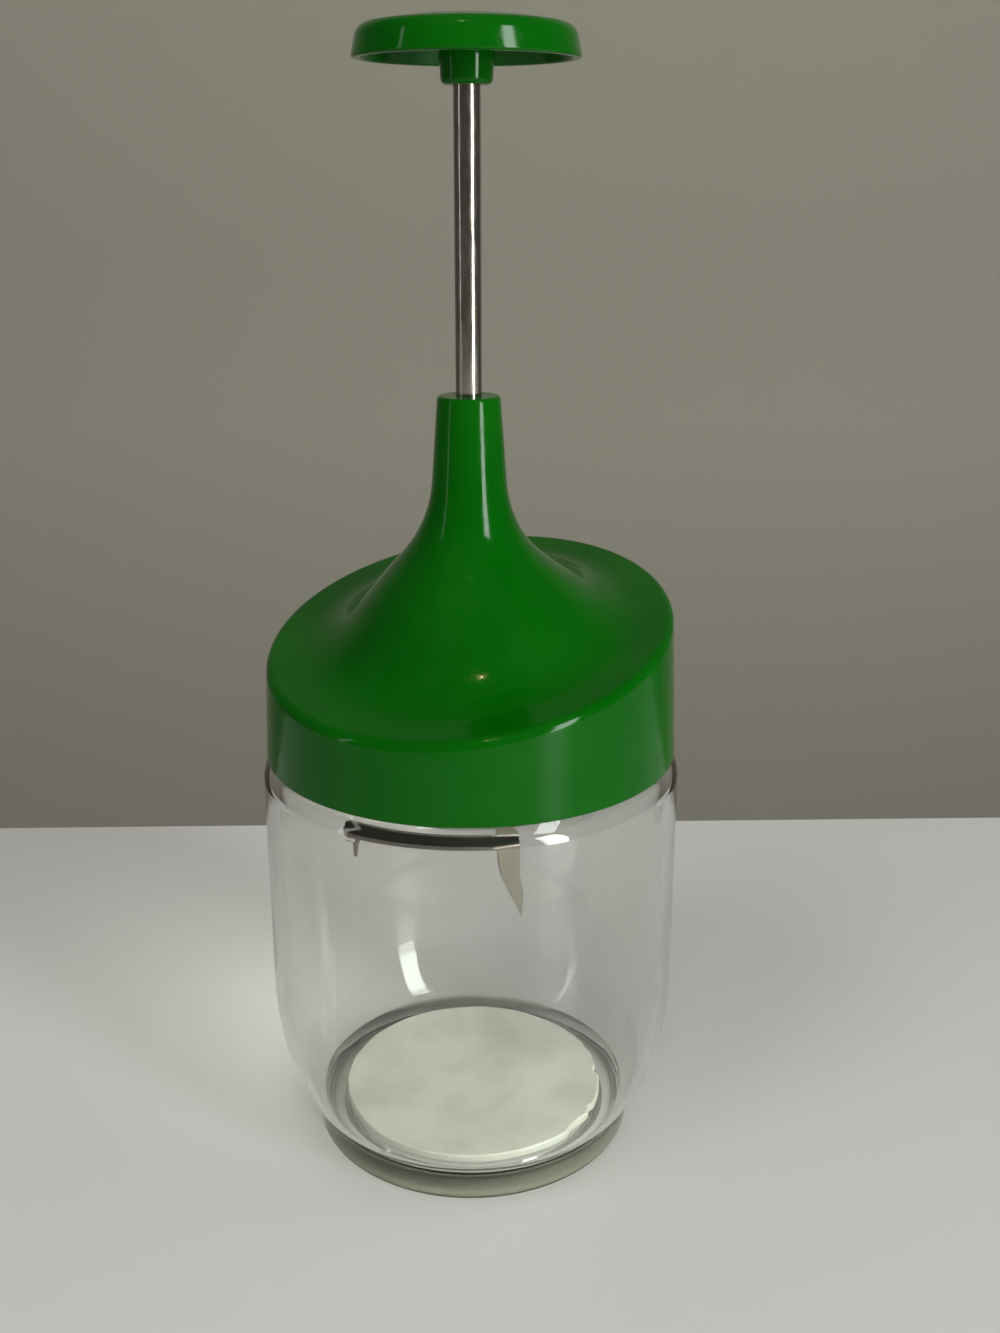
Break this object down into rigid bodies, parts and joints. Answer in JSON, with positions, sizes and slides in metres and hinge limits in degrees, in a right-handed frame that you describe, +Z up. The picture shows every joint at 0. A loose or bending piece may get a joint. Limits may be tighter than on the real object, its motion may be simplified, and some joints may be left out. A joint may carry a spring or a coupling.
{
  "type": "plunger food chopper",
  "caption": "Hand chopper: glass jar with foot ring, slanted green lid with trumpet neck, spring-loaded steel rod with palm knob, toothed cutter and loose chopping disc.",
  "frame": {"origin": "middle of the jar's foot, on the surface it stands on", "axes": "+Z up along the rod; the lid's top slants down towards -Y, the front; +X to the right"},
  "size_m": [0.102, 0.102, 0.2703],
  "materials": {
    "clear_glass": "pressed clear soda-lime glass",
    "white_plastic": "satin off-white polyethylene",
    "green_plastic": "glossy moulded green plastic",
    "zinc_steel": "zinc-plated steel",
    "grey_rubber": "matt grey rubber",
    "natural_nylon": "natural nylon",
    "spring_steel": "drawn spring wire",
    "polished_steel": "polished stainless steel bar",
    "stainless_sheet": "stamped stainless sheet"
  },
  "bodies": {
    "jar": {"glass_jar": "clear_glass", "chopping_disc": "white_plastic"},
    "lid": {"lid_shell": "green_plastic", "inner_cover": "green_plastic", "cover_screws": "zinc_steel", "mouth_gasket": "grey_rubber", "guide_bush": "natural_nylon", "lower_spring_washer": "zinc_steel", "return_spring": "spring_steel"},
    "spring_seat": {"upper_spring_washer": "zinc_steel"},
    "plunger": {"plunger_rod": "polished_steel", "retaining_clip": "spring_steel", "damping_ring": "grey_rubber", "knob": "green_plastic", "cutter": "stainless_sheet", "cutter_collar": "polished_steel", "cutter_washer": "stainless_sheet", "cutter_nut": "polished_steel"}
  },
  "joints": [
    {"name": "lid_lift", "type": "slide", "parent": "jar", "child": "lid", "axis": [0, 0, 1], "range_m": [0, 0.15]},
    {"name": "plunger_press", "type": "slide", "parent": "lid", "child": "spring_seat", "axis": [0, 0, -1], "range_m": [0, 0.0617], "stiffness_N_per_m": 180, "springref_m": -0.02, "deforming": ["return_spring"]},
    {"name": "plunger_turn", "type": "hinge", "parent": "spring_seat", "child": "plunger", "pos_m": [0, 0, 0.186], "axis": [0, 0, 1], "continuous": true}
  ]
}
